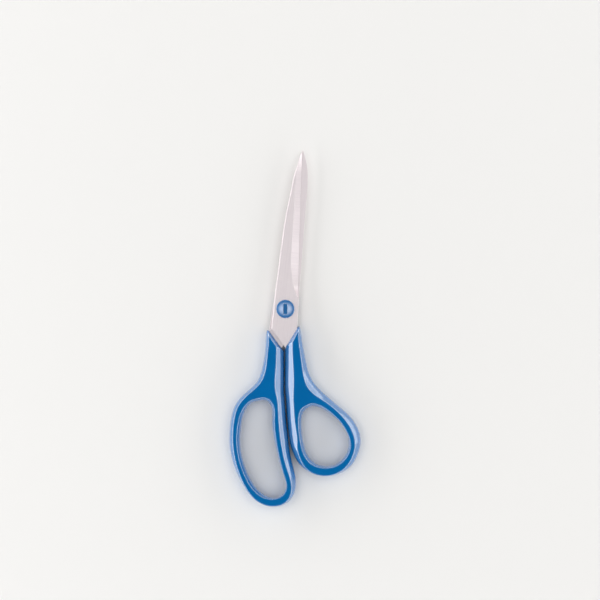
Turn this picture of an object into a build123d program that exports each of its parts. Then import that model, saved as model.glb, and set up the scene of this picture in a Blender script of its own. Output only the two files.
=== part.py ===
"""Household shears with two steel blades, moulded handles and a screwed pivot.

The shears lie closed on their back. +X points to the thumb side, +Y to the blade tips and +Z out of the
front. The origin is at the middle of the underside of the bounding box. All lengths are in millimetres.
"""

import os
from dataclasses import dataclass
from math import cos, radians, sin

from build123d import *

os.makedirs("parts", exist_ok=True)

# Reach and spread of the closed shears, measured from the pivot
blade_length = 96.2
blade_lean = 6.2
finger_spread = 33.8
thumb_spread = 45.4
seam_depth = 79.2
finger_drop = 40.2
thumb_drop = 21.9

# Moulded handles
handle_thickness = 11.0
seam_gap = 0.6
seam_start = 0.54
seam_drift = 2.7
seam_bevel = 4.5
finger_notch_depth = 25.4
finger_notch_angle = 36.0
finger_notch_length = 15.1
thumb_notch_depth = 22.8
thumb_notch_angle = 32.3
thumb_notch_length = 14.1
notch_crease_rise = 2.7

# Blades
blade_thickness = 1.7
blade_gap = 0.2
blade_half_width = 7.4
edge_land = 0.25
spine_chamfer = 0.5
spine_chamfer_depth = 0.25
finger_notch_clearance = 1.8
thumb_notch_clearance = 1.2
heel_depth = 3.0
tang_start = 15.0
tang_length = 48.0
tang_width = 6.6
tang_corner = 2.0
tang_hole = 3.2
tang_hole_pitch = 12.0
tang_hole_margin = 6.0
thumb_tang_lean = 9.0
thumb_tang_offset = 1.3
finger_tang_lean = 7.2
finger_tang_offset = 3.2

# Pivot
shank_diameter = 5.0
turning_clearance = 0.05
fixed_clearance = 0.02
cap_diameter = 11.0
cap_wall = 0.95
cap_pocket_clearance = 0.05
cap_crown = 1.2
cap_edge_gap = 0.1
cap_edge_round = 0.3
front_cap_rim = 1.3
back_cap_rim = 1.1
slot_length = 6.2
slot_width = 2.5
slot_depth = 0.6
head_thickness = 1.1
socket_sides = 6
nut_sides = 6
head_socket = 3.0
head_socket_depth = 0.7
spring_height = 0.6
spring_thickness = 0.4
spring_inset = 0.2
nut_thickness = 1.3
slip_diameter = 12.0
slip_clearance = 0.05

# Derived places
mid_height = handle_thickness / 2
blade_rise = blade_length * cos(radians(blade_lean))
pivot_x = (finger_spread - thumb_spread) / 2
pivot_y = (seam_depth + finger_drop - blade_rise) / 2
front_inner_face = mid_height + blade_gap / 2
back_inner_face = mid_height - blade_gap / 2
front_face = front_inner_face + blade_thickness
back_face = back_inner_face - blade_thickness
head_seat = front_face + spring_height
head_top = head_seat + head_thickness
nut_end = back_face - nut_thickness
head_diameter = cap_diameter - 2 * (cap_wall + cap_pocket_clearance)
spring_diameter = head_diameter - 2 * spring_inset
pivot_plane = Plane((pivot_x, pivot_y, 0))
pivot_axis = Axis((pivot_x, pivot_y, 0), (0, 0, 1))
pivot_section = Plane((pivot_x, pivot_y, 0), x_dir=(1, 0, 0), z_dir=(0, -1, 0))
blade_plane = Plane((pivot_x, pivot_y, 0), x_dir=(cos(radians(blade_lean)), -sin(radians(blade_lean)), 0))

# Section of a handle's side as shares: height of the thickness, and how far the side has come out from
# the flat face towards the widest line at mid-height
side_section_shares = [
    (0, 0),
    (0.08, 0.28),
    (0.165, 0.55),
    (0.30, 0.84),
    (0.5, 1),
    (0.70, 0.84),
    (0.835, 0.55),
    (0.92, 0.28),
    (1, 0),
]

# The shoulder where a handle's notch face turns into its outer side, as shares of the length of the notch
# face: along the face from the notch corner, and outwards from it, at the widest line and at the flat face
shoulder_shares = [(1, 0, 0.75, 0.125), (1.07, 0.05, 0.83, 0.14), (0.995, 0.155, 0.72, 0.235)]

# Outer sides of the handles as shares. Across is a share of the spread, outwards from the pivot. Down runs
# from -1 at the top of the notch face through 0 at the end of the seam to 1 at the bottom of the bow. Each
# row gives the widest line (across, down) and the edge of the flat face (across, down).
finger_outer_shares = [
    (0.356, -0.870, 0.309, -0.851),
    (0.408, -0.677, 0.346, -0.667),
    (0.512, -0.535, 0.447, -0.527),
    (0.744, -0.421, 0.696, -0.404),
    (0.909, -0.311, 0.845, -0.308),
    (0.975, -0.184, 0.916, -0.180),
    (1.000, -0.018, 0.939, -0.018),
    (0.973, 0.211, 0.913, 0.207),
    (0.887, 0.451, 0.844, 0.438),
    (0.746, 0.692, 0.720, 0.682),
    (0.578, 0.872, 0.563, 0.863),
    (0.410, 0.965, 0.401, 0.953),
    (0.195, 1.000, 0.195, 0.982),
    (-0.025, 0.947, -0.006, 0.922),
    (-0.147, 0.820, -0.099, 0.797),
    (-0.193, 0.647, -0.106, 0.639),
    (-0.161, 0.451, -0.048, 0.464),
    (-0.106, 0.271, 0.015, 0.288),
    (-0.070, 0.105, 0.056, 0.119),
]
thumb_outer_shares = [
    (0.247, -0.795, 0.199, -0.780),
    (0.282, -0.680, 0.220, -0.669),
    (0.320, -0.583, 0.245, -0.568),
    (0.378, -0.509, 0.281, -0.490),
    (0.473, -0.438, 0.356, -0.423),
    (0.600, -0.363, 0.503, -0.354),
    (0.733, -0.288, 0.652, -0.280),
    (0.840, -0.225, 0.760, -0.209),
    (0.920, -0.158, 0.841, -0.137),
    (0.977, -0.080, 0.895, -0.068),
    (1.000, 0.055, 0.924, 0.067),
    (0.963, 0.386, 0.902, 0.370),
    (0.870, 0.713, 0.836, 0.642),
    (0.761, 0.879, 0.741, 0.831),
    (0.547, 1.000, 0.547, 0.968),
    (0.347, 0.915, 0.361, 0.893),
    (0.227, 0.749, 0.265, 0.743),
    (0.154, 0.579, 0.220, 0.607),
    (0.106, 0.375, 0.183, 0.419),
    (0.074, 0.193, 0.156, 0.217),
]
finger_hole_shares = [
    (0.445, -0.361, 0.449, -0.389),
    (0.301, -0.344, 0.276, -0.366),
    (0.243, -0.288, 0.207, -0.303),
    (0.240, -0.184, 0.196, -0.189),
    (0.218, -0.055, 0.181, -0.058),
    (0.170, 0.120, 0.142, 0.113),
    (0.104, 0.346, 0.084, 0.341),
    (0.032, 0.541, 0.018, 0.538),
    (-0.007, 0.692, -0.019, 0.692),
    (0.047, 0.800, 0.038, 0.809),
    (0.195, 0.857, 0.196, 0.875),
    (0.354, 0.821, 0.367, 0.862),
    (0.526, 0.699, 0.572, 0.737),
    (0.665, 0.496, 0.729, 0.516),
    (0.758, 0.271, 0.823, 0.284),
    (0.801, 0.000, 0.866, 0.000),
    (0.773, -0.164, 0.834, -0.172),
    (0.698, -0.283, 0.755, -0.289),
    (0.592, -0.341, 0.642, -0.355),
]
thumb_hole_shares = [
    (0.380, -0.299, 0.372, -0.326),
    (0.487, -0.278, 0.496, -0.298),
    (0.593, -0.233, 0.610, -0.243),
    (0.686, -0.184, 0.696, -0.189),
    (0.769, -0.118, 0.776, -0.119),
    (0.822, -0.049, 0.833, -0.049),
    (0.840, 0.069, 0.861, 0.071),
    (0.819, 0.303, 0.847, 0.313),
    (0.757, 0.504, 0.783, 0.535),
    (0.653, 0.661, 0.663, 0.711),
    (0.544, 0.705, 0.537, 0.758),
    (0.434, 0.658, 0.417, 0.720),
    (0.343, 0.523, 0.317, 0.600),
    (0.283, 0.331, 0.243, 0.371),
    (0.246, 0.083, 0.204, 0.102),
    (0.222, -0.088, 0.178, -0.088),
    (0.221, -0.195, 0.177, -0.203),
    (0.247, -0.252, 0.209, -0.274),
    (0.305, -0.285, 0.274, -0.307),
]

# The seam between the closed handles, from its end up to the notch. Each row gives the share of the
# sideways drift, the share of the way up and the share of the seam bevel.
seam_shares = [
    (1.00, 0.000, 1.02),
    (0.64, 0.144, 1.00),
    (0.40, 0.287, 0.97),
    (0.18, 0.440, 1.00),
    (0.00, 0.547, 1.15),
    (0.00, 0.720, 1.12),
    (0.00, 0.890, 1.00),
    (0.00, 1.000, 1.00),
]

# Blade outlines as shares of the half width, towards the spine, and of the blade length, from the pivot
front_spine_shares = [
    (0.00, 0.997),
    (0.16, 0.963),
    (0.25, 0.922),
    (0.35, 0.884),
    (0.45, 0.845),
    (0.53, 0.787),
    (0.62, 0.714),
    (0.74, 0.628),
    (0.86, 0.475),
    (0.915, 0.273),
    (0.97, 0.070),
    (0.97, -0.131),
    (0.97, -0.260),
]
back_spine_shares = [
    (0.02, 1.000),
    (0.22, 0.968),
    (0.40, 0.928),
    (0.54, 0.891),
    (0.64, 0.845),
    (0.73, 0.769),
    (0.76, 0.675),
    (0.83, 0.489),
    (0.91, 0.288),
    (0.99, 0.087),
    (1.10, -0.083),
    (1.16, -0.260),
]
cutting_edge_shares = [
    (0.00, 1.000),
    (0.05, 0.915),
    (0.13, 0.815),
    (0.26, 0.690),
    (0.42, 0.533),
    (0.62, 0.345),
    (0.82, 0.158),
    (0.93, 0.077),
]
root_edge_shares = [(1.10, -0.095), (1.16, -0.260)]
# Line where the ground bevel starts on the blade's flat, towards the cutting edge
bevel_start_shares = [
    (-0.34, 1.010),
    (-0.26, 0.950),
    (-0.27, 0.913),
    (-0.31, 0.837),
    (-0.30, 0.786),
    (-0.23, 0.711),
    (-0.17, 0.623),
    (-0.09, 0.485),
    (-0.02, 0.372),
    (0.06, 0.284),
    (0.22, 0.216),
    (0.46, 0.148),
    (0.93, 0.077),
]


@dataclass(frozen=True)
class Handle:
    """One moulded handle. Its side is -1 for the finger handle and 1 for the thumb handle."""

    side: int
    spread: float
    drop: float
    notch_depth: float
    notch_angle: float
    notch_length: float
    tang_lean: float
    tang_offset: float
    outer_shares: list
    hole_shares: list

    def along_notch(self):
        """Unit vector up the notch face, away from the seam."""
        tilt = radians(self.notch_angle)
        return Vector(self.side * sin(tilt), cos(tilt))

    def out_of_notch(self):
        """Unit vector square to the notch face, into the plastic."""
        tilt = radians(self.notch_angle)
        return Vector(self.side * cos(tilt), -sin(tilt))

    def notch_corner(self):
        """Corner between the seam and the notch face, from the pivot."""
        return Vector(self.side * seam_gap / 2 - seam_start, -self.notch_depth)

    def place(self, across, down):
        """Point of an across share and a down share, from the pivot."""
        notch_rise = self.along_notch().Y * self.notch_length
        stretch = self.drop if down > 0 else seam_depth - self.notch_depth + notch_rise
        return Vector(self.side * self.spread * across, -seam_depth - down * stretch)

    def blend(self, rows, place, out):
        """Points of a table between the flat face (out = 0) and the widest line (out = 1)."""
        return [place(*row[2:]) * (1 - out) + place(*row[:2]) * out for row in rows]

    def shoulder_place(self, along, outwards):
        """Point of the shoulder table, from the pivot."""
        offset = self.along_notch() * along + self.out_of_notch() * outwards
        return self.notch_corner() + offset * self.notch_length

    def seam_points(self, out):
        """Points up the seam from its end to the notch corner, from the pivot."""
        rise = seam_depth - self.notch_depth + notch_crease_rise * (1 - out)
        points = []
        for drift, up, bevel in seam_shares:
            inset = seam_gap / 2 + bevel * seam_bevel * (1 - out)
            x = drift * seam_drift - seam_start + self.side * inset
            points.append(Vector(x, -seam_depth + up * rise))
        return points

    def outline_sections(self):
        """Sections of the handle on parallel planes, from its back face to its front face."""
        sections = []
        for height, out in side_section_shares:
            points = self.blend(shoulder_shares, self.shoulder_place, out)
            points += self.blend(self.outer_shares, self.place, out)
            points += self.seam_points(out)
            with BuildSketch(pivot_plane.offset(height * handle_thickness)) as section:
                with BuildLine():
                    Spline(*points)
                    Line(points[-1], points[0])
                make_face()
            sections.append(section.sketch)
        return sections

    def hole_sections(self):
        """Sections of the hole through the bow on the same planes."""
        sections = []
        for height, out in side_section_shares:
            with BuildSketch(pivot_plane.offset(height * handle_thickness)) as section:
                with BuildLine():
                    Spline(*self.blend(self.hole_shares, self.place, out), periodic=True)
                make_face()
            sections.append(section.sketch)
        return sections

    def notch_trim(self, clearance):
        """Everything beyond the notch face, drawn back from it by a clearance."""
        reach = seam_depth
        start = self.notch_corner() - self.out_of_notch() * clearance - self.along_notch() * reach
        end = start + self.along_notch() * 2 * reach
        beyond = self.out_of_notch() * reach
        with BuildSketch(pivot_plane) as trim:
            with BuildLine():
                Polyline(start, end, end + beyond, start + beyond, close=True)
            make_face()
        return trim.sketch

    def tang_outline(self, height):
        """Strip with a rounded end and two moulding holes that runs down into the handle."""
        direction = Vector(self.side * sin(radians(self.tang_lean)), -cos(radians(self.tang_lean)))
        origin = Vector(self.side * self.tang_offset, 0)
        middle = origin + direction * (tang_start + tang_length) / 2
        low_hole = origin + direction * (tang_length - tang_hole_margin)
        with BuildSketch(pivot_plane.offset(height)) as tang:
            with Locations(Location(middle, self.side * self.tang_lean)):
                Rectangle(tang_width, tang_length - tang_start)
            fillet(tang.vertices().sort_by(Axis.Y)[:2], tang_corner)
            with Locations(low_hole, low_hole - direction * tang_hole_pitch):
                Circle(tang_hole / 2, mode=Mode.SUBTRACT)
        return tang.sketch


finger = Handle(
    side=-1,
    spread=finger_spread,
    drop=finger_drop,
    notch_depth=finger_notch_depth,
    notch_angle=finger_notch_angle,
    notch_length=finger_notch_length,
    tang_lean=finger_tang_lean,
    tang_offset=finger_tang_offset,
    outer_shares=finger_outer_shares,
    hole_shares=finger_hole_shares,
)
thumb = Handle(
    side=1,
    spread=thumb_spread,
    drop=thumb_drop,
    notch_depth=thumb_notch_depth,
    notch_angle=thumb_notch_angle,
    notch_length=thumb_notch_length,
    tang_lean=thumb_tang_lean,
    tang_offset=thumb_tang_offset,
    outer_shares=thumb_outer_shares,
    hole_shares=thumb_hole_shares,
)


def blade_points(rows, side):
    """Points of a blade table in the blade's own plane, where +Y runs along the blade to its tip."""
    return [(side * across * blade_half_width, along * blade_length) for across, along in rows]


def blade_blank(spine_rows, spine_side, face_height):
    """Outline of a blade from its tip to a root that is trimmed later."""
    spine = blade_points(spine_rows, spine_side)
    edge = blade_points(cutting_edge_shares + root_edge_shares, -spine_side)
    with BuildSketch(blade_plane.offset(face_height)) as blank:
        with BuildLine():
            Spline(*spine)
            Line(spine[-1], edge[-1])
            Spline(*edge)
            Line(edge[0], spine[0])
        make_face()
    return blank.sketch


def bevel_sections(spine_side, land_height, outer_face):
    """Sections of the wedge that is ground away, at the cutting edge's land and at the blade's flat."""
    sections = []
    reach = -spine_side * 2 * blade_half_width
    for height, rows in ((land_height, cutting_edge_shares), (outer_face, bevel_start_shares)):
        points = blade_points(rows, -spine_side)
        with BuildSketch(blade_plane.offset(height)) as section:
            with BuildLine():
                Spline(*points)
                Polyline(points[-1], (reach, points[-1][1]), (reach, points[0][1]), points[0])
            make_face()
        sections.append(section.sketch)
    return sections


def cap_outline(seat_height, crown_height, rim_height, edge_height):
    """Half section of a domed cap, from its edge beside the blade to its crown."""
    upright = 1 if crown_height > edge_height else -1
    pocket = head_diameter / 2 + cap_pocket_clearance
    rim = edge_height + upright * rim_height
    with BuildSketch(pivot_section) as half:
        with BuildLine():
            Polyline(
                (cap_diameter / 2, rim),
                (cap_diameter / 2, edge_height),
                (pocket, edge_height),
                (pocket, seat_height),
                (0, seat_height),
                (0, crown_height),
            )
            TangentArc((0, crown_height), (cap_diameter / 2, rim), tangent=(1, 0))
        make_face()
        outer_corners = half.vertices().sort_by(Axis.X)[-2:].sort_by(Axis.Y)
        fillet(outer_corners[-1 if upright > 0 else 0], cap_edge_round)
    return half.sketch


with BuildPart() as front_blade:
    extrude(blade_blank(front_spine_shares, -1, front_inner_face), amount=blade_thickness)
    flat = front_blade.faces().sort_by(Axis.Z)[-1]
    spine_edge = flat.edges().filter_by(GeomType.BSPLINE).sort_by(Axis.X)[0]
    chamfer(spine_edge, spine_chamfer, spine_chamfer_depth, reference=flat)
    loft(bevel_sections(-1, front_inner_face + edge_land, front_face), mode=Mode.SUBTRACT)
    extrude(finger.notch_trim(finger_notch_clearance), amount=handle_thickness, mode=Mode.SUBTRACT)
    extrude(thumb.notch_trim(-heel_depth), amount=handle_thickness, mode=Mode.SUBTRACT)
    extrude(thumb.tang_outline(front_inner_face), amount=blade_thickness)
    with Locations(pivot_plane.offset(front_face)):
        Hole(shank_diameter / 2 + turning_clearance, depth=blade_thickness)

with BuildPart() as back_blade:
    extrude(blade_blank(back_spine_shares, 1, back_face), amount=blade_thickness)
    flat = back_blade.faces().sort_by(Axis.Z)[0]
    spine_edge = flat.edges().filter_by(GeomType.BSPLINE).sort_by(Axis.X)[-1]
    chamfer(spine_edge, spine_chamfer, spine_chamfer_depth, reference=flat)
    loft(bevel_sections(1, back_inner_face - edge_land, back_face), mode=Mode.SUBTRACT)
    extrude(thumb.notch_trim(thumb_notch_clearance), amount=handle_thickness, mode=Mode.SUBTRACT)
    extrude(finger.notch_trim(-heel_depth), amount=handle_thickness, mode=Mode.SUBTRACT)
    extrude(finger.tang_outline(back_face), amount=blade_thickness)
    with Locations(pivot_plane.offset(back_inner_face)):
        Hole(shank_diameter / 2 + fixed_clearance, depth=blade_thickness)

with BuildPart() as finger_handle:
    loft(finger.outline_sections())
    loft(finger.hole_sections(), mode=Mode.SUBTRACT)
    add(back_blade.part, mode=Mode.SUBTRACT)

with BuildPart() as thumb_handle:
    loft(thumb.outline_sections())
    loft(thumb.hole_sections(), mode=Mode.SUBTRACT)
    add(front_blade.part, mode=Mode.SUBTRACT)

with BuildPart() as pivot_screw:
    with BuildSketch(pivot_plane.offset(nut_end)):
        Circle(shank_diameter / 2)
    extrude(amount=head_top - nut_end)
    with BuildSketch(pivot_plane.offset(head_seat)):
        Circle(head_diameter / 2)
    extrude(amount=head_thickness)
    with BuildSketch(pivot_plane.offset(head_top)):
        RegularPolygon(head_socket / 2, socket_sides, major_radius=False)
    extrude(amount=-head_socket_depth, mode=Mode.SUBTRACT)

with BuildPart() as pivot_nut:
    with BuildSketch(pivot_plane.offset(nut_end)):
        RegularPolygon(head_diameter / 2, nut_sides)
        Circle(shank_diameter / 2 + fixed_clearance, mode=Mode.SUBTRACT)
    extrude(amount=nut_thickness)

with BuildPart() as spring_washer:
    with BuildSketch(pivot_section):
        bore_radius = shank_diameter / 2 + turning_clearance
        with BuildLine():
            Polyline(
                (bore_radius, head_seat - spring_thickness),
                (spring_diameter / 2, front_face),
                (spring_diameter / 2, front_face + spring_thickness),
                (bore_radius, head_seat),
                close=True,
            )
        make_face()
    revolve(axis=pivot_axis)

with BuildPart() as blade_washer:
    with BuildSketch(pivot_plane.offset(back_inner_face)):
        Circle(slip_diameter / 2)
        Circle(shank_diameter / 2 + fixed_clearance, mode=Mode.SUBTRACT)
    extrude(amount=blade_gap - slip_clearance)

with BuildPart() as pivot_cap:
    crown = head_top + cap_crown
    revolve(cap_outline(head_top, crown, front_cap_rim, front_face + cap_edge_gap), axis=pivot_axis)
    with BuildSketch(pivot_plane.offset(crown)):
        Rectangle(slot_width, slot_length)
    extrude(amount=-slot_depth, mode=Mode.SUBTRACT)

with BuildPart() as nut_cap:
    crown = nut_end - cap_crown
    revolve(cap_outline(nut_end, crown, back_cap_rim, back_face - cap_edge_gap), axis=pivot_axis)

pieces = {
    "front_blade": front_blade,
    "back_blade": back_blade,
    "thumb_handle": thumb_handle,
    "finger_handle": finger_handle,
    "pivot_screw": pivot_screw,
    "pivot_nut": pivot_nut,
    "spring_washer": spring_washer,
    "blade_washer": blade_washer,
    "pivot_cap": pivot_cap,
    "nut_cap": nut_cap,
}
for name, piece in pieces.items():
    piece.part.label = name
    export_step(piece.part, f"parts/{name}.step")
    print(f"{name}: {piece.part.volume:.1f} cubic millimetres")
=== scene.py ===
"""Looks of a pair of household shears with ground steel blades and glossy moulded handles.

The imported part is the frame. Its nodes get their finishes here, and the camera looks straight down
at the closed shears on a pale table.
"""

import logging
import math
from dataclasses import dataclass
from enum import Enum

import bpy
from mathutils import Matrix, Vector

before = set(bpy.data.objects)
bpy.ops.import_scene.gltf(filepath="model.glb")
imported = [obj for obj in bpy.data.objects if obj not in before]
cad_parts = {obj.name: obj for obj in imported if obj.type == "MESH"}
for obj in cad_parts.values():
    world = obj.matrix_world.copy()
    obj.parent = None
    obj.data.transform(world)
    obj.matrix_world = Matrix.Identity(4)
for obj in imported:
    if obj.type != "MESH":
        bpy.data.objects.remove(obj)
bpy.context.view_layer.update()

log = logging.getLogger("shears")

MILLIMETRE = 0.001

# At scale 1 a wave texture has one ring in this length
WAVE_LENGTH = 2 * math.pi / 20


def linear_colour(code: str) -> tuple[float, float, float, float]:
    """Turns an sRGB hex colour into linear light.

    Args:
        code: The colour as RRGGBB.

    Returns:
        Red, green, blue and alpha in linear light.
    """
    channels = []
    for start in (0, 2, 4):
        value = int(code[start : start + 2], 16) / 255
        channels.append(value / 12.92 if value <= 0.04045 else ((value + 0.055) / 1.055) ** 2.4)
    return (*channels, 1.0)


def per_metre(size: float) -> float:
    """Turns a pattern's size in millimetres into a texture scale on Object coordinates."""
    return 1 / (size * MILLIMETRE)


def two_colours(first: str, second: str) -> dict:
    """Gives the settings of a mix node between two sRGB hex colours."""
    return {"data_type": "RGBA", 6: linear_colour(first), 7: linear_colour(second)}


def falling(start: float, end: float) -> dict:
    """Gives the settings of a map range node that falls from 1 at the start to 0 at the end."""
    return {"From Min": start, "From Max": end, "To Min": 1.0, "To Max": 0.0}


def add_node(tree: bpy.types.NodeTree, kind: str, settings: dict, links: dict) -> bpy.types.Node:
    """Adds a node with its settings and its links.

    Args:
        tree: The node tree that gets the node.
        kind: The node's type name, such as ShaderNodeTexNoise.
        settings: Values of the node's own properties, or of its inputs by their names or numbers.
        links: Output sockets by the names or numbers of the inputs that they feed.

    Returns:
        The new node.
    """
    node = tree.nodes.new(kind)
    for name, value in settings.items():
        if isinstance(name, str) and hasattr(node, name):
            setattr(node, name, value)
        else:
            node.inputs[name].default_value = value
    for name, socket in links.items():
        tree.links.new(socket, node.inputs[name])
    return node


def new_material(name: str) -> bpy.types.Material:
    """Makes an empty node material.

    Args:
        name: The material's name.

    Returns:
        The new material, without nodes.
    """
    material = bpy.data.materials.new(name)
    material.use_nodes = True
    material.node_tree.nodes.clear()
    return material


def dress(name: str, material: bpy.types.Material) -> None:
    """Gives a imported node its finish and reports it.

    Args:
        name: The node's name.
        material: Its finish.
    """
    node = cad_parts[name]
    node.data.materials.clear()
    node.data.materials.append(material)
    log.info("dressed %s in %s", name, material.name)


class Grind(Enum):
    """Directions of grinding lines, by their size across and along the blade in millimetres."""

    LENGTHWISE = (0.45, 30.0, 0.45)
    CROSSWISE = (18.0, 0.5, 18.0)


@dataclass(frozen=True)
class MouldedPlastic:
    """Glossy injection-moulded ABS, coloured through, from a polished mould.

    The eye sees a deep even blue under a hard clear gloss, a slight orange peel in the reflections,
    softly rounded edges that catch the light, with a pale highlight painted into the colour on their
    sloping side beside the flat faces, and the fine seam where the two halves of the mould met.
    Lengths are in millimetres. Slopes and rises tell how level the surface is, from 0 for upright to
    1 for flat, and bends how near the rounded normal is to the true one, up to 1 away from edges.
    """

    name: str
    colour: str = "0374BC"
    flow_colour: str = "0269AB"
    flow_size: float = 14.0
    flow_detail: float = 3.0
    flow_swirl: float = 0.6
    highlight_colour: str = "D4E8FC"
    highlight_bend: tuple[float, float] = (0.987, 0.999)
    highlight_slope: tuple[float, float] = (0.985, 0.995)
    highlight_rise: tuple[float, float] = (0.66, 0.78)
    roughness: float = 0.1
    scuff_roughness: float = 0.14
    scuff_size: float = 3.0
    scuff_detail: float = 6.0
    scuff_grain: float = 0.7
    scuff_band: tuple[float, float] = (0.45, 0.8)
    ior: float = 1.7
    gloss_ior: float = 2.1
    gloss_roughness: float = 0.05
    peel_size: float = 3.2
    peel_detail: float = 1.0
    peel_height: float = 0.0012
    edge_round: float = 0.8
    edge_samples: int = 6
    seam_height: float = 5.5
    seam_half_width: float = 0.16
    seam_rise: float = 0.05
    pin_marks: tuple[tuple[float, float], ...] = ()
    pin_radius: float = 1.6
    pin_groove: float = 0.25
    pin_depth: float = 0.06
    pin_reach: float = 0.6

    def seam_ridge(
        self, tree: bpy.types.NodeTree, place: bpy.types.NodeSocket
    ) -> bpy.types.NodeSocket:
        """Draws the ridge where the mould's halves met.

        Args:
            tree: The material's nodes.
            place: Object coordinates.

        Returns:
            1 on the ridge and 0 away from it.
        """
        axes = add_node(tree, "ShaderNodeSeparateXYZ", {}, {0: place})
        above = add_node(
            tree,
            "ShaderNodeMath",
            {"operation": "SUBTRACT", 1: self.seam_height * MILLIMETRE},
            {0: axes.outputs["Z"]},
        )
        away = add_node(tree, "ShaderNodeMath", {"operation": "ABSOLUTE"}, {0: above.outputs[0]})
        ridge = add_node(
            tree,
            "ShaderNodeMapRange",
            falling(0.0, self.seam_half_width * MILLIMETRE),
            {"Value": away.outputs[0]},
        )
        return ridge.outputs[0]

    def painted_crease_highlight(
        self, tree: bpy.types.NodeTree, rounded: bpy.types.NodeSocket
    ) -> bpy.types.NodeSocket:
        """Finds the sloping side of the creases around the flat faces, where a pale highlight is
        painted.

        Args:
            tree: The material's nodes.
            rounded: The normal with its edges rounded.

        Returns:
            1 along such a crease, on its sloping side, and 0 elsewhere.
        """
        surface = add_node(tree, "ShaderNodeNewGeometry", {}, {})
        agreement = add_node(
            tree,
            "ShaderNodeVectorMath",
            {"operation": "DOT_PRODUCT"},
            {0: rounded, 1: surface.outputs["True Normal"]},
        )
        bend = add_node(
            tree,
            "ShaderNodeMapRange",
            falling(*self.highlight_bend),
            {"Value": agreement.outputs["Value"]},
        )
        axes = add_node(tree, "ShaderNodeSeparateXYZ", {}, {0: surface.outputs["True Normal"]})
        level = add_node(tree, "ShaderNodeMath", {"operation": "ABSOLUTE"}, {0: axes.outputs["Z"]})
        slope = add_node(
            tree,
            "ShaderNodeMapRange",
            falling(*self.highlight_slope),
            {"Value": level.outputs[0]},
        )
        # A crease between two sloping sides leaves the rounded normal low, and gets no painted
        # highlight
        axes = add_node(tree, "ShaderNodeSeparateXYZ", {}, {0: rounded})
        lift = add_node(tree, "ShaderNodeMath", {"operation": "ABSOLUTE"}, {0: axes.outputs["Z"]})
        beside_flat = add_node(
            tree,
            "ShaderNodeMapRange",
            {"From Min": self.highlight_rise[0], "From Max": self.highlight_rise[1]},
            {"Value": lift.outputs[0]},
        )
        painted_highlight = add_node(
            tree,
            "ShaderNodeMath",
            {"operation": "MULTIPLY"},
            {0: bend.outputs[0], 1: slope.outputs[0]},
        )
        painted_highlight = add_node(
            tree,
            "ShaderNodeMath",
            {"operation": "MULTIPLY"},
            {0: painted_highlight.outputs[0], 1: beside_flat.outputs[0]},
        )
        return painted_highlight.outputs[0]

    def pin_rings(
        self, tree: bpy.types.NodeTree, place: bpy.types.NodeSocket
    ) -> bpy.types.NodeSocket:
        """Draws the round witness grooves that the mould's ejector pins left on the back.

        Args:
            tree: The material's nodes.
            place: Object coordinates.

        Returns:
            1 in the grooves and 0 elsewhere.
        """
        flat = add_node(
            tree, "ShaderNodeVectorMath", {"operation": "MULTIPLY", 1: (1, 1, 0)}, {0: place}
        )
        nearest = None
        for across, along in self.pin_marks:
            mark = (across * MILLIMETRE, along * MILLIMETRE, 0)
            reach = add_node(
                tree,
                "ShaderNodeVectorMath",
                {"operation": "DISTANCE", 1: mark},
                {0: flat.outputs[0]},
            ).outputs["Value"]
            if nearest is not None:
                reach = add_node(
                    tree, "ShaderNodeMath", {"operation": "MINIMUM"}, {0: nearest, 1: reach}
                ).outputs[0]
            nearest = reach
        edge = add_node(
            tree,
            "ShaderNodeMath",
            {"operation": "SUBTRACT", 1: self.pin_radius * MILLIMETRE},
            {0: nearest},
        )
        away = add_node(tree, "ShaderNodeMath", {"operation": "ABSOLUTE"}, {0: edge.outputs[0]})
        groove = add_node(
            tree,
            "ShaderNodeMapRange",
            falling(0.0, self.pin_groove * MILLIMETRE),
            {"Value": away.outputs[0]},
        )
        axes = add_node(tree, "ShaderNodeSeparateXYZ", {}, {0: place})
        at_back = add_node(
            tree,
            "ShaderNodeMath",
            {"operation": "LESS_THAN", 1: self.pin_reach * MILLIMETRE},
            {0: axes.outputs["Z"]},
        )
        ring = add_node(
            tree,
            "ShaderNodeMath",
            {"operation": "MULTIPLY"},
            {0: groove.outputs[0], 1: at_back.outputs[0]},
        )
        return ring.outputs[0]

    def material(self) -> bpy.types.Material:
        """Builds the material.

        Returns:
            The new material.
        """
        material = new_material(self.name)
        tree = material.node_tree
        place = add_node(tree, "ShaderNodeTexCoord", {}, {}).outputs["Object"]
        # Pigment follows the melt, so the blue drifts a little over a centimetre or two
        flow = add_node(
            tree,
            "ShaderNodeTexNoise",
            {
                "Scale": per_metre(self.flow_size),
                "Detail": self.flow_detail,
                "Distortion": self.flow_swirl,
            },
            {"Vector": place},
        )
        blue = add_node(
            tree,
            "ShaderNodeMix",
            two_colours(self.colour, self.flow_colour),
            {0: flow.outputs["Fac"]},
        )
        edges = add_node(
            tree,
            "ShaderNodeBevel",
            {"samples": self.edge_samples, "Radius": self.edge_round * MILLIMETRE},
            {},
        )
        # Paints a pale highlight into the blue along the creases beside the flat faces, in place of
        # light on the rounded edges
        blue = add_node(
            tree,
            "ShaderNodeMix",
            {"data_type": "RGBA", 7: linear_colour(self.highlight_colour)},
            {0: self.painted_crease_highlight(tree, edges.outputs["Normal"]), 6: blue.outputs[2]},
        )
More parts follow.
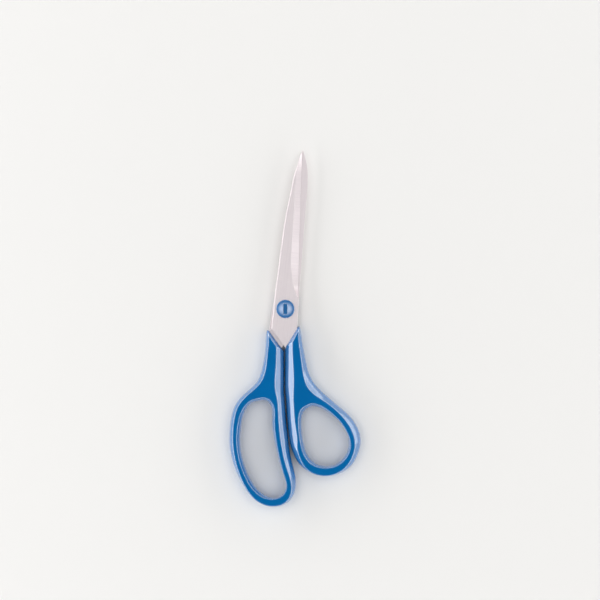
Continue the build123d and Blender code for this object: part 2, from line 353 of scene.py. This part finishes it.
        # Faint handling scuffs break the gloss in patches
        scuffs = add_node(
            tree,
            "ShaderNodeTexNoise",
            {
                "Scale": per_metre(self.scuff_size),
                "Detail": self.scuff_detail,
                "Roughness": self.scuff_grain,
            },
            {"Vector": place},
        )
        roughness = add_node(
            tree,
            "ShaderNodeMapRange",
            {
                "From Min": self.scuff_band[0],
                "From Max": self.scuff_band[1],
                "To Min": self.roughness,
                "To Max": self.scuff_roughness,
            },
            {"Value": scuffs.outputs["Fac"]},
        )
        peel = add_node(
            tree,
            "ShaderNodeTexNoise",
            {"Scale": per_metre(self.peel_size), "Detail": self.peel_detail},
            {"Vector": place},
        )
        normal = add_node(
            tree,
            "ShaderNodeBump",
            {"Strength": 1.0, "Distance": self.peel_height * MILLIMETRE},
            {"Height": peel.outputs["Fac"], "Normal": edges.outputs["Normal"]},
        )
        normal = add_node(
            tree,
            "ShaderNodeBump",
            {"Strength": 1.0, "Distance": self.seam_rise * MILLIMETRE},
            {"Height": self.seam_ridge(tree, place), "Normal": normal.outputs["Normal"]},
        )
        if self.pin_marks:
            normal = add_node(
                tree,
                "ShaderNodeBump",
                {"Strength": 1.0, "Distance": self.pin_depth * MILLIMETRE, "invert": True},
                {"Height": self.pin_rings(tree, place), "Normal": normal.outputs["Normal"]},
            )
        shader = add_node(
            tree,
            "ShaderNodeBsdfPrincipled",
            {
                "IOR": self.ior,
                "Coat Weight": 1.0,
                "Coat IOR": self.gloss_ior,
                "Coat Roughness": self.gloss_roughness,
            },
            {
                "Base Color": blue.outputs[2],
                "Roughness": roughness.outputs[0],
                "Normal": normal.outputs["Normal"],
                "Coat Normal": normal.outputs["Normal"],
            },
        )
        add_node(tree, "ShaderNodeOutputMaterial", {}, {"Surface": shader.outputs["BSDF"]})
        return material


@dataclass(frozen=True)
class GroundSteel:
    """Stainless blade steel with a satin ground finish.

    The eye sees a pale warm grey with an even soft sheen, fine grinding lines along the flat and
    across the bevel, brighter lines at the edges, which are worn smooth and get a highlight painted
    into their colour, and a duller shoulder where the bevel ends. Lengths are in millimetres and the
    lean in degrees. Slopes tell how level the surface is, from 0 for upright to 1 for flat, and
    bends how near the rounded normal is to the true one, up to 1 away from edges.
    """

    name: str
    lean: float
    colour: str = "EDE4E6"
    streak_colour: str = "E2D9DC"
    roughness: float = 0.4
    streak_roughness: float = 0.46
    streak_band: tuple[float, float] = (0.3, 0.7)
    line_height: float = 0.0016
    line_detail: float = 4.0
    line_grain: float = 0.6
    flat_slope: float = 0.9985
    bevel_slope: float = 0.992
    cloud_size: float = 9.0
    cloud_detail: float = 2.0
    cloud_share: float = 0.35
    edge_round: float = 0.18
    edge_samples: int = 6
    edge_highlight_colour: str = "F7F1F0"
    worn_roughness: float = 0.34
    wear_and_highlight_bend: tuple[float, float] = (0.8, 0.99)
    shoulder_slope: tuple[float, float] = (0.8, 0.885)
    shoulder_roughness: float = 0.8
    shoulder_reach: float = 40.0

    def grinding(
        self, tree: bpy.types.NodeTree, place: bpy.types.NodeSocket, grind: Grind
    ) -> bpy.types.NodeSocket:
        """Draws grinding lines, drawn coarser than real grit so that they show.

        Args:
            tree: The material's nodes.
            place: Object coordinates.
            grind: The direction of the lines.

        Returns:
            The height of the lines from 0 to 1.
        """
        turned = add_node(
            tree,
            "ShaderNodeMapping",
            {"Rotation": (0, 0, math.radians(self.lean))},
            {"Vector": place},
        )
        stretched = add_node(
            tree,
            "ShaderNodeMapping",
            {"Scale": [per_metre(size) for size in grind.value]},
            {"Vector": turned.outputs[0]},
        )
        lines = add_node(
            tree,
            "ShaderNodeTexNoise",
            {"Scale": 1.0, "Detail": self.line_detail, "Roughness": self.line_grain},
            {"Vector": stretched.outputs[0]},
        )
        return lines.outputs["Fac"]

    def shoulder(
        self, tree: bpy.types.NodeTree, place: bpy.types.NodeSocket, slope: bpy.types.NodeSocket
    ) -> bpy.types.NodeSocket:
        """Finds the steep shoulder near the pivot where the wheel left the bevel, coarse and dull.

        Args:
            tree: The material's nodes.
            place: Object coordinates.
            slope: How level the surface is.

        Returns:
            1 on the shoulder and 0 elsewhere.
        """
        steep = add_node(
            tree,
            "ShaderNodeMapRange",
            falling(*self.shoulder_slope),
            {"Value": slope},
        )
        axes = add_node(tree, "ShaderNodeSeparateXYZ", {}, {0: place})
        near = add_node(
            tree,
            "ShaderNodeMath",
            {"operation": "LESS_THAN", 1: self.shoulder_reach * MILLIMETRE},
            {0: axes.outputs["Y"]},
        )
        shoulder = add_node(
            tree,
            "ShaderNodeMath",
            {"operation": "MULTIPLY"},
            {0: steep.outputs[0], 1: near.outputs[0]},
        )
        return shoulder.outputs[0]

    def material(self) -> bpy.types.Material:
        """Builds the material.

        Returns:
            The new material.
        """
        material = new_material(self.name)
        tree = material.node_tree
        place = add_node(tree, "ShaderNodeTexCoord", {}, {}).outputs["Object"]
        surface = add_node(tree, "ShaderNodeNewGeometry", {}, {})
        # The flats face straight up and down, and the ground bevel is tilted
        axes = add_node(tree, "ShaderNodeSeparateXYZ", {}, {0: surface.outputs["True Normal"]})
        slope = add_node(tree, "ShaderNodeMath", {"operation": "ABSOLUTE"}, {0: axes.outputs["Z"]})
        on_bevel = add_node(
            tree,
            "ShaderNodeMapRange",
            falling(self.bevel_slope, self.flat_slope),
            {"Value": slope.outputs[0]},
        )
        lines = add_node(
            tree,
            "ShaderNodeMix",
            {"data_type": "FLOAT"},
            {
                0: on_bevel.outputs[0],
                2: self.grinding(tree, place, Grind.LENGTHWISE),
                3: self.grinding(tree, place, Grind.CROSSWISE),
            },
        )
        clouds = add_node(
            tree,
            "ShaderNodeTexNoise",
            {"Scale": per_metre(self.cloud_size), "Detail": self.cloud_detail},
            {"Vector": place},
        )
        streaks = add_node(
            tree,
            "ShaderNodeMix",
            {"data_type": "FLOAT", 0: self.cloud_share},
            {2: lines.outputs[0], 3: clouds.outputs["Fac"]},
        )
        streaks = add_node(
            tree,
            "ShaderNodeMapRange",
            {"From Min": self.streak_band[0], "From Max": self.streak_band[1]},
            {"Value": streaks.outputs[0]},
        )
        # Where the rounded normal leaves the true one, an edge is near: it has worn smoother, and a
        # pale highlight is painted into its colour
        edges = add_node(
            tree,
            "ShaderNodeBevel",
            {"samples": self.edge_samples, "Radius": self.edge_round * MILLIMETRE},
            {},
        )
        agreement = add_node(
            tree,
            "ShaderNodeVectorMath",
            {"operation": "DOT_PRODUCT"},
            {0: edges.outputs["Normal"], 1: surface.outputs["True Normal"]},
        )
        wear_and_highlight = add_node(
            tree,
            "ShaderNodeMapRange",
            falling(*self.wear_and_highlight_bend),
            {"Value": agreement.outputs["Value"]},
        )
        grey = add_node(
            tree,
            "ShaderNodeMix",
            two_colours(self.colour, self.streak_colour),
            {0: streaks.outputs[0]},
        )
        # Paints a pale highlight into the grey along the edges
        grey = add_node(
            tree,
            "ShaderNodeMix",
            {"data_type": "RGBA", 7: linear_colour(self.edge_highlight_colour)},
            {0: wear_and_highlight.outputs[0], 6: grey.outputs[2]},
        )
        satin = add_node(
            tree,
            "ShaderNodeMapRange",
            {"To Min": self.roughness, "To Max": self.streak_roughness},
            {"Value": streaks.outputs[0]},
        )
        satin = add_node(
            tree,
            "ShaderNodeMix",
            {"data_type": "FLOAT", 3: self.worn_roughness},
            {0: wear_and_highlight.outputs[0], 2: satin.outputs[0]},
        )
        satin = add_node(
            tree,
            "ShaderNodeMix",
            {"data_type": "FLOAT", 3: self.shoulder_roughness},
            {0: self.shoulder(tree, place, slope.outputs[0]), 2: satin.outputs[0]},
        )
        normal = add_node(
            tree,
            "ShaderNodeBump",
            {"Strength": 1.0, "Distance": self.line_height * MILLIMETRE},
            {"Height": lines.outputs[0], "Normal": edges.outputs["Normal"]},
        )
        shader = add_node(
            tree,
            "ShaderNodeBsdfPrincipled",
            {"Metallic": 1.0},
            {
                "Base Color": grey.outputs[2],
                "Roughness": satin.outputs[0],
                "Normal": normal.outputs["Normal"],
            },
        )
        add_node(tree, "ShaderNodeOutputMaterial", {}, {"Surface": shader.outputs["BSDF"]})
        return material


@dataclass(frozen=True)
class TurnedSteel:
    """Turned or stamped steel of the pivot, with shallow rings about the pivot's axis.

    Zinc plate gives a cool bright grey with soft patches, and phosphated spring steel a dark dull
    one. Lengths are in millimetres.
    """

    name: str
    centre: tuple[float, float]
    colour: str
    patch_colour: str
    roughness: float
    roughness_spread: float = 0.06
    patch_size: float = 1.8
    patch_detail: float = 4.0
    ring_pitch: float = 1.5708
    ring_wobble: float = 0.4
    ring_height: float = 0.003
    edge_round: float = 0.12
    edge_samples: int = 4

    def material(self) -> bpy.types.Material:
        """Builds the material.

        Returns:
            The new material.
        """
        material = new_material(self.name)
        tree = material.node_tree
        place = add_node(tree, "ShaderNodeTexCoord", {}, {}).outputs["Object"]
        centred = add_node(
            tree,
            "ShaderNodeMapping",
            {"Location": (-self.centre[0] * MILLIMETRE, -self.centre[1] * MILLIMETRE, 0)},
            {"Vector": place},
        )
        rings = add_node(
            tree,
            "ShaderNodeTexWave",
            {
                "wave_type": "RINGS",
                "rings_direction": "Z",
                "Scale": per_metre(self.ring_pitch) * WAVE_LENGTH,
                "Distortion": self.ring_wobble,
            },
            {"Vector": centred.outputs[0]},
        )
        patches = add_node(
            tree,
            "ShaderNodeTexNoise",
            {"Scale": per_metre(self.patch_size), "Detail": self.patch_detail},
            {"Vector": place},
        )
        grey = add_node(
            tree,
            "ShaderNodeMix",
            two_colours(self.colour, self.patch_colour),
            {0: patches.outputs["Fac"]},
        )
        satin = add_node(
            tree,
            "ShaderNodeMapRange",
            {
                "To Min": self.roughness - self.roughness_spread,
                "To Max": self.roughness + self.roughness_spread,
            },
            {"Value": patches.outputs["Fac"]},
        )
        edges = add_node(
            tree,
            "ShaderNodeBevel",
            {"samples": self.edge_samples, "Radius": self.edge_round * MILLIMETRE},
            {},
        )
        normal = add_node(
            tree,
            "ShaderNodeBump",
            {"Strength": 1.0, "Distance": self.ring_height * MILLIMETRE},
            {"Height": rings.outputs["Fac"], "Normal": edges.outputs["Normal"]},
        )
        shader = add_node(
            tree,
            "ShaderNodeBsdfPrincipled",
            {"Metallic": 1.0},
            {
                "Base Color": grey.outputs[2],
                "Roughness": satin.outputs[0],
                "Normal": normal.outputs["Normal"],
            },
        )
        add_node(tree, "ShaderNodeOutputMaterial", {}, {"Surface": shader.outputs["BSDF"]})
        return material


@dataclass(frozen=True)
class PunchedNylon:
    """Natural nylon sheet, punched into a washer.

    The eye sees a milky, waxy and faintly mottled white with a fine grain. Lengths are in
    millimetres.
    """

    name: str = "natural_nylon_sheet"
    colour: str = "E6E1D3"
    mottle_colour: str = "DAD3C2"
    mottle_size: float = 1.2
    mottle_detail: float = 3.0
    roughness: float = 0.42
    roughness_spread: float = 0.05
    ior: float = 1.53
    grain_size: float = 0.3
    grain_detail: float = 1.0
    grain_height: float = 0.004

    def material(self) -> bpy.types.Material:
        """Builds the material.

        Returns:
            The new material.
        """
        material = new_material(self.name)
        tree = material.node_tree
        place = add_node(tree, "ShaderNodeTexCoord", {}, {}).outputs["Object"]
        mottle = add_node(
            tree,
            "ShaderNodeTexNoise",
            {"Scale": per_metre(self.mottle_size), "Detail": self.mottle_detail},
            {"Vector": place},
        )
        milk = add_node(
            tree,
            "ShaderNodeMix",
            two_colours(self.colour, self.mottle_colour),
            {0: mottle.outputs["Fac"]},
        )
        wax = add_node(
            tree,
            "ShaderNodeMapRange",
            {
                "To Min": self.roughness - self.roughness_spread,
                "To Max": self.roughness + self.roughness_spread,
            },
            {"Value": mottle.outputs["Fac"]},
        )
        grain = add_node(
            tree,
            "ShaderNodeTexNoise",
            {"Scale": per_metre(self.grain_size), "Detail": self.grain_detail},
            {"Vector": place},
        )
        normal = add_node(
            tree,
            "ShaderNodeBump",
            {"Strength": 1.0, "Distance": self.grain_height * MILLIMETRE},
            {"Height": grain.outputs["Fac"]},
        )
        shader = add_node(
            tree,
            "ShaderNodeBsdfPrincipled",
            {"IOR": self.ior},
            {
                "Base Color": milk.outputs[2],
                "Roughness": wax.outputs[0],
                "Normal": normal.outputs["Normal"],
            },
        )
        add_node(tree, "ShaderNodeOutputMaterial", {}, {"Surface": shader.outputs["BSDF"]})
        return material


@dataclass
class Handles:
    """The two moulded handles.

    The marks of the mould's ejector pins are in millimetres from the part's origin.
    """

    finger_pin_marks: tuple[tuple[float, float], ...] = (
        (-13.8, -17.7),
        (-15.3, -31.7),
        (-18.6, -38.3),
    )
    thumb_pin_marks: tuple[tuple[float, float], ...] = ((0.6, -17.7), (2.6, -31.7), (7.3, -42.5))

    def build(self) -> None:
        """Dresses both handles."""
        finger = MouldedPlastic("glossy_moulded_abs_finger_handle", pin_marks=self.finger_pin_marks)
        thumb = MouldedPlastic("glossy_moulded_abs_thumb_handle", pin_marks=self.thumb_pin_marks)
        dress("finger_handle", finger.material())
        dress("thumb_handle", thumb.material())


@dataclass
class Blades:
    """The two ground blades. Closed, both lean by the same angle in degrees."""

    lean: float = 6.2

    def build(self) -> None:
        """Dresses both blades."""
        steel = GroundSteel("satin_ground_stainless_steel", lean=self.lean).material()
        dress("front_blade", steel)
        dress("back_blade", steel)


@dataclass
class Pivot:
    """Screw, nut, washers and caps on the pivot. Lengths are in millimetres.

    The caps come from a duller mould than the handles. A seam height below the back of the shears
    leaves them without a seam.
    """

    centre: tuple[float, float] = (-5.8, 11.88)
    plate_colours: tuple[str, str] = ("C9CCD1", "B4B9C0")
    plate_roughness: float = 0.3
    spring_colours: tuple[str, str] = ("6B6D70", "55575B")
    spring_roughness: float = 0.48
    cap_roughness: float = 0.24
    cap_scuff_roughness: float = 0.3
    cap_gloss_ior: float = 2.5
    cap_gloss_roughness: float = 0.12
    cap_edge_round: float = 0.2
    cap_seam_height: float = -1.0

    def build(self) -> None:
        """Dresses every piece of the pivot."""
        plate = TurnedSteel(
            "zinc_plated_turned_steel", self.centre, *self.plate_colours, self.plate_roughness
        ).material()
        spring = TurnedSteel(
            "phosphated_spring_steel", self.centre, *self.spring_colours, self.spring_roughness
        ).material()
        cap = MouldedPlastic(
            "satin_moulded_abs_cap",
            roughness=self.cap_roughness,
            scuff_roughness=self.cap_scuff_roughness,
            gloss_ior=self.cap_gloss_ior,
            gloss_roughness=self.cap_gloss_roughness,
            edge_round=self.cap_edge_round,
            seam_height=self.cap_seam_height,
        ).material()
        dress("pivot_screw", plate)
        dress("pivot_nut", plate)
        dress("spring_washer", spring)
        dress("blade_washer", PunchedNylon().material())
        dress("pivot_cap", cap)
        dress("nut_cap", cap)


@dataclass
class Studio:
    """A pale table in an open-topped light tent, under low lamps and a roof with a ring of light.

    Lengths are in metres and angles in degrees.
    """

    photo_width: float = 0.3624
    centre_x: float = 0.00302
    centre_y: float = 0.01726
    lens: float = 250.0
    sensor: float = 36.0
    tent_radius: float = 2.2
    tent_height: float = 0.6
    tent_sides: int = 96
    cloth_colour: str = "F4F3F1"
    cloth_roughness: float = 0.8
    cloth_gloss: float = 0.2
    wall_distance: float = 1.3
    wall_lamps: int = 24
    side_wall_height: float = 0.76
    left_wall_strength: float = 2.5
    right_wall_strength: float = 1.6
    end_wall_height: float = 0.5
    end_wall_strength: float = 1.5
    roof_strength: float = 0.05
    ring_strength: float = 0.85
    ring_side_gain: float = 2.2
    ring_inner_angles: tuple[float, float] = (8.0, 16.0)
    ring_outer_angles: tuple[float, float] = (24.0, 54.0)
    opening_strength: float = 0.005

    def camera(self) -> None:
        """Sets the camera straight above, where it frames the shears as photographed."""
        data = bpy.data.cameras.new("camera")
        data.lens = self.lens
        data.sensor_width = self.sensor
        camera = bpy.data.objects.new("camera", data)
        bpy.context.scene.collection.objects.link(camera)
        height = self.photo_width * self.lens / self.sensor
        camera.location = (self.centre_x, self.centre_y, height)
        bpy.context.scene.camera = camera

    def tent(self) -> None:
        """Adds the table top and the tent's wall as one pale sheet, open at the top."""
        bpy.ops.object.select_all(action="DESELECT")
        bpy.ops.mesh.primitive_circle_add(
            vertices=self.tent_sides,
            radius=self.tent_radius,
            fill_type="NGON",
            location=(0, 0, 0),
        )
        tent = bpy.context.active_object
        tent.name = "tent"
        bpy.ops.object.mode_set(mode="EDIT")
        bpy.ops.mesh.select_all(action="SELECT")
        bpy.ops.mesh.extrude_edges_move(
            TRANSFORM_OT_translate={"value": (0, 0, self.tent_height)}
        )
        bpy.ops.object.mode_set(mode="OBJECT")
        material = bpy.data.materials.new("pale_tent_cloth")
        material.use_nodes = True
        shader = material.node_tree.nodes["Principled BSDF"]
        shader.inputs["Base Color"].default_value = linear_colour(self.cloth_colour)
        shader.inputs["Roughness"].default_value = self.cloth_roughness
        shader.inputs["Specular IOR Level"].default_value = self.cloth_gloss
        tent.data.materials.append(material)

    def soft_lamp(
        self, name: str, place: Vector, size: tuple[float, float], strength: float
    ) -> None:
        """Adds one soft lamp that faces the shears.

        Args:
            name: The lamp's name.
            place: The middle of its cloth.
            size: Its width and its height.
            strength: The brightness of its cloth, where 1 is white.
        """
        data = bpy.data.lights.new(name, "AREA")
        data.shape = "RECTANGLE"
        data.size, data.size_y = size
        data.energy = strength * math.pi * size[0] * size[1]
        lamp = bpy.data.objects.new(name, data)
        bpy.context.scene.collection.objects.link(lamp)
        lamp.location = place
        lamp.rotation_euler = place.to_track_quat("Z", "Y").to_euler()
        lamp.visible_camera = False

    def lamps(self) -> None:
        """Adds a ring of low lamps like the wall of a tent, brightest at the left."""
        width = 2 * self.wall_distance * math.tan(math.pi / self.wall_lamps)
        side_rise = self.side_wall_height - self.end_wall_height
        for number in range(self.wall_lamps):
            turn = 2 * math.pi * number / self.wall_lamps
            at_side = math.cos(turn) ** 2
            at_left = math.cos(turn) < 0
            side_strength = self.left_wall_strength if at_left else self.right_wall_strength
            height = self.end_wall_height + side_rise * at_side
            strength = self.end_wall_strength + (side_strength - self.end_wall_strength) * at_side
            wall = Vector((math.cos(turn), math.sin(turn), 0)) * self.wall_distance
            wall.z = height / 2
            self.soft_lamp(f"wall_lamp_{number}", wall, (width, height), strength)

    def angle_step(
        self,
        tree: bpy.types.NodeTree,
        height: bpy.types.NodeSocket,
        angles: tuple[float, float],
        ends: tuple[float, float],
    ) -> bpy.types.NodeSocket:
        """Draws a soft step over the angle from straight above.

        Args:
            tree: The world's nodes.
            height: The height of the direction, which is the cosine of that angle.
            angles: Where the step starts and ends.
            ends: Its values before and after.

        Returns:
            The step's value.
        """
        settings = {
            "interpolation_type": "SMOOTHSTEP",
            "From Min": math.cos(math.radians(angles[1])),
            "From Max": math.cos(math.radians(angles[0])),
            "To Min": ends[1],
            "To Max": ends[0],
        }
        return add_node(tree, "ShaderNodeMapRange", settings, {"Value": height}).outputs[0]

    def world(self) -> None:
        """Sets the tent's roof, dim cloth with a ring of light around the camera's dark opening."""
        world = bpy.data.worlds.new("tent_roof")
        world.use_nodes = True
        tree = world.node_tree
        way = add_node(tree, "ShaderNodeTexCoord", {}, {}).outputs["Generated"]
        axes = add_node(tree, "ShaderNodeSeparateXYZ", {}, {0: way})
        height = axes.outputs["Z"]
        # The ring is brighter at the left and the right, where X is large beside Y
        across, along = (
            add_node(
                tree,
                "ShaderNodeMath",
                {"operation": "MULTIPLY"},
                {0: axes.outputs[axis], 1: axes.outputs[axis]},
            )
            for axis in ("X", "Y")
        )
        both = add_node(
            tree,
            "ShaderNodeMath",
            {"operation": "ADD"},
            {0: across.outputs[0], 1: along.outputs[0]},
        )
        sideways = add_node(
            tree,
            "ShaderNodeMath",
            {"operation": "DIVIDE"},
            {0: across.outputs[0], 1: both.outputs[0]},
        )
        gain = add_node(
            tree,
            "ShaderNodeMapRange",
            {"To Min": self.ring_strength, "To Max": self.ring_strength * self.ring_side_gain},
            {"Value": sideways.outputs[0]},
        )
        ring = add_node(
            tree,
            "ShaderNodeMath",
            {"operation": "MULTIPLY"},
            {0: gain.outputs[0], 1: self.angle_step(tree, height, self.ring_outer_angles, (1, 0))},
        )
        cloth = add_node(
            tree,
            "ShaderNodeMath",
            {"operation": "ADD", 1: self.roof_strength},
            {0: ring.outputs[0]},
        )
        lit = add_node(
            tree,
            "ShaderNodeMath",
            {"operation": "MULTIPLY"},
            {0: cloth.outputs[0], 1: self.angle_step(tree, height, self.ring_inner_angles, (0, 1))},
        )
        room = add_node(
            tree,
            "ShaderNodeMath",
            {"operation": "ADD", 1: self.opening_strength},
            {0: lit.outputs[0]},
        )
        background = tree.nodes["Background"]
        background.inputs["Color"].default_value = linear_colour("FFFFFF")
        tree.links.new(room.outputs[0], background.inputs["Strength"])
        bpy.context.scene.world = world

    def build(self) -> None:
        """Builds the whole studio."""
        self.camera()
        self.tent()
        self.lamps()
        self.world()
        bpy.context.scene.view_settings.view_transform = "Standard"


def main() -> None:
    """Dresses the shears and sets up the studio."""
    for assembly in (Handles(), Blades(), Pivot(), Studio()):
        assembly.build()
        log.info("built %s", type(assembly).__name__)


if __name__ == "__main__":
    logging.basicConfig(level=logging.INFO, format="%(message)s")
    main()
